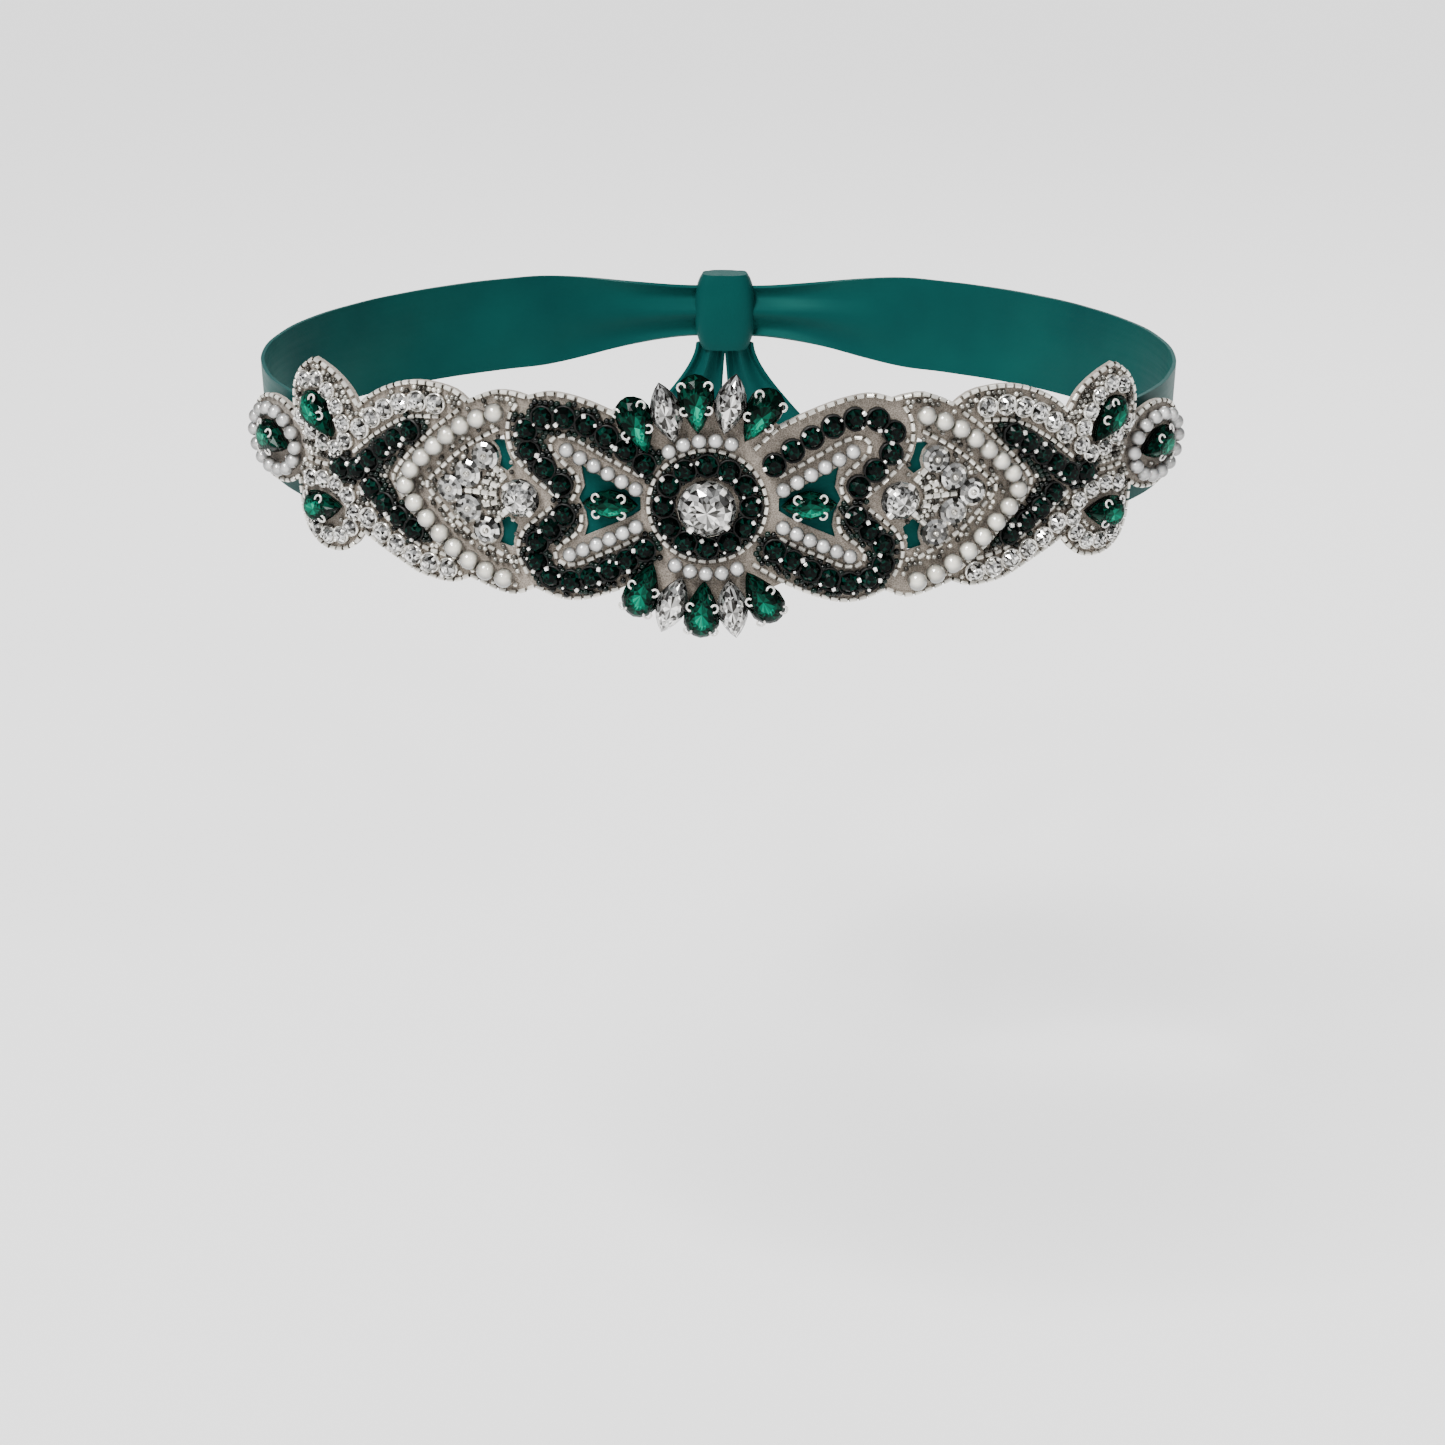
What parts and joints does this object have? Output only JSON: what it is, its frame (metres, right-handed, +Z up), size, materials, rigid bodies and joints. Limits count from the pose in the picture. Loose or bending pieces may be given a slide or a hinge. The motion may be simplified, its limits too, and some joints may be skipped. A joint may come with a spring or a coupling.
{
  "type": "bridal sash",
  "caption": "Satin ribbon sash knotted at the back, its front covered by a beaded applique of pearls, clear stones and emerald-green stones.",
  "frame": {"origin": "centre of the waist ring, at half the ribbon's height", "axes": "+Z up the wearer, -Y out of the front of the waist, +X to the viewer's right"},
  "size_m": [0.2246, 0.1805, 0.1126],
  "materials": {
    "satin_ribbon": "satin",
    "cream_cloth": "matt",
    "pearl": "lustre",
    "dark_glass": "faceted",
    "emerald_glass": "faceted",
    "clear_glass": "faceted"
  },
  "bodies": {
    "root": {"applique_base": "cream_cloth", "chain_clear_lower_left": "clear_glass", "chain_clear_lower_right": "clear_glass", "chain_clear_upper_left": "clear_glass", "chain_clear_upper_right": "clear_glass", "chain_dark_lower_left": "dark_glass", "chain_dark_lower_right": "dark_glass", "chain_dark_upper_left": "dark_glass", "chain_dark_upper_right": "dark_glass", "chain_leaf_lower_left": "clear_glass", "chain_leaf_lower_right": "clear_glass", "chain_leaf_upper_left": "clear_glass", "chain_leaf_upper_right": "clear_glass", "chain_wing_lower_left": "dark_glass", "chain_wing_lower_right": "dark_glass", "chain_wing_upper_left": "dark_glass", "chain_wing_upper_right": "dark_glass", "discs_left": "clear_glass", "discs_right": "clear_glass", "medallion_ring": "dark_glass", "pearls_arc_bottom": "pearl", "pearls_arc_top": "pearl", "pearls_flower_left": "pearl", "pearls_flower_right": "pearl", "pearls_lozenge_left": "pearl", "pearls_lozenge_right": "pearl", "pearls_wing_lower_left": "pearl", "pearls_wing_lower_right": "pearl", "pearls_wing_upper_left": "pearl", "pearls_wing_upper_right": "pearl", "ribbon_band": "satin_ribbon", "ribbon_knot": "satin_ribbon", "ribbon_tail_left": "satin_ribbon", "ribbon_tail_right": "satin_ribbon", "stone_centre": "clear_glass", "stone_fan_bottom_1": "emerald_glass", "stone_fan_bottom_2": "clear_glass", "stone_fan_bottom_3": "emerald_glass", "stone_fan_bottom_4": "clear_glass", "stone_fan_bottom_5": "emerald_glass", "stone_fan_top_1": "emerald_glass", "stone_fan_top_2": "clear_glass", "stone_fan_top_3": "emerald_glass", "stone_fan_top_4": "clear_glass", "stone_fan_top_5": "emerald_glass", "stone_flower_left": "emerald_glass", "stone_flower_right": "emerald_glass", "stone_leaf_lower_left": "emerald_glass", "stone_leaf_lower_right": "emerald_glass", "stone_leaf_upper_left": "emerald_glass", "stone_leaf_upper_right": "emerald_glass", "stone_lozenge_left": "clear_glass", "stone_lozenge_right": "clear_glass", "stone_wing_left": "emerald_glass", "stone_wing_right": "emerald_glass"}
  },
  "joints": []
}
